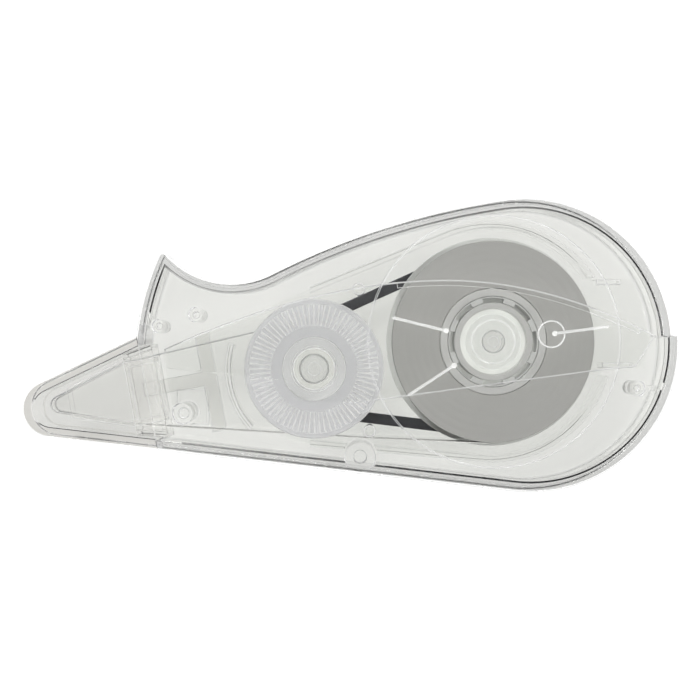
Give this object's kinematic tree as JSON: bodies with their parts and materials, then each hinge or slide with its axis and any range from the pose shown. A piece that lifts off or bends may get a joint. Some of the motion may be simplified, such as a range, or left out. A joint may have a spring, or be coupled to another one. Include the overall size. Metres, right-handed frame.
{
  "type": "correction tape roller",
  "caption": "Clear flat correction tape roller with a finger rest, wedge applicator head, pull-off nose cap, tape roll, take-up reel and belt drive.",
  "frame": {"origin": "centre of the overall box, on the back face that it lies on", "axes": "+X along the length from the nose to the round end, +Y towards the finger rest's side, +Z through the thickness to the front face"},
  "size_m": [0.096, 0.043, 0.014],
  "materials": {
    "clear_case": "clear moulded polystyrene, polished",
    "clear_cap": "clear moulded polystyrene, polished",
    "clear_inner": "clear moulded plastic, lightly frosted",
    "white_hub": "translucent white plastic",
    "grey_clutch": "satin grey plastic",
    "grey_core": "satin grey plastic",
    "wound_tape": "edge of a tight roll of tape, fine rings",
    "frosted_reel": "clear plastic with a ribbed, frosted face",
    "used_liner": "translucent film",
    "olive_washer": "smooth translucent plastic",
    "belt_rubber": "matt black rubber",
    "fresh_tape": "matt white correction film on its liner"
  },
  "bodies": {
    "case": {"rear_shell": "clear_case", "front_shell": "clear_case", "nose_collar": "clear_inner", "applicator_head": "clear_inner", "chassis": "clear_inner", "bridge": "clear_inner", "supply_retainer": "white_hub", "take_up_retainer": "olive_washer", "drive_belt": "belt_rubber", "tape_web": "fresh_tape", "liner_web": "used_liner"},
    "pulley": {"drive_pulley": "white_hub"},
    "roll": {"clutch_ring": "grey_clutch", "supply_core": "grey_core", "tape_roll": "wound_tape"},
    "take_up": {"take_up_reel": "frosted_reel", "take_up_disc": "frosted_reel", "take_up_winding": "used_liner"},
    "cap": {"nose_cap": "clear_cap"}
  },
  "joints": [
    {"name": "supply_spin", "type": "hinge", "parent": "case", "child": "pulley", "pos_m": [0.021, 0.0005, 0], "axis": [0, 0, 1], "continuous": true},
    {"name": "roll_slip", "type": "hinge", "parent": "pulley", "child": "roll", "pos_m": [0.021, 0.0005, 0], "axis": [0, 0, 1], "continuous": true},
    {"name": "take_up_spin", "type": "hinge", "parent": "case", "child": "take_up", "pos_m": [-0.0054, -0.0035, 0], "axis": [0, 0, 1], "continuous": true},
    {"name": "cap_slide", "type": "slide", "parent": "case", "child": "cap", "axis": [-0.9833, -0.1822, 0], "range_m": [0, 0.03]}
  ],
  "couplings": [
    {"joint": "take_up_spin", "follows": "supply_spin", "ratio": 2.125}
  ]
}
